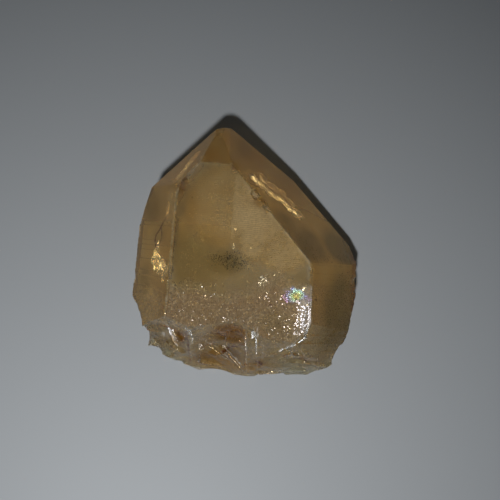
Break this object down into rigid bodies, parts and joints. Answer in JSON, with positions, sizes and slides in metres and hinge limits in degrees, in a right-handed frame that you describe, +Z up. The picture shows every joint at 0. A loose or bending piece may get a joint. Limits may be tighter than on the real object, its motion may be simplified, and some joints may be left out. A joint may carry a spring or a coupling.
{
  "type": "citrine crystal point",
  "caption": "Single natural quartz crystal with a six-sided prism, a pointed end and a broken base, lying on one flat side; clear smoky yellow-brown citrine.",
  "frame": {"origin": "bottom centre of the crystal's box, on the surface that it rests on", "axes": "+Z up, square to the prism face that it rests on; +Y along the crystal's long axis towards its point; +X to its right, seen from above with the point away from the viewer"},
  "size_m": [0.036, 0.0402, 0.0212],
  "materials": {
    "citrine": "natural crystal faces, glossy and clear, with a frosted broken base"
  },
  "bodies": {
    "root": {"citrine_crystal": "citrine"}
  },
  "joints": []
}
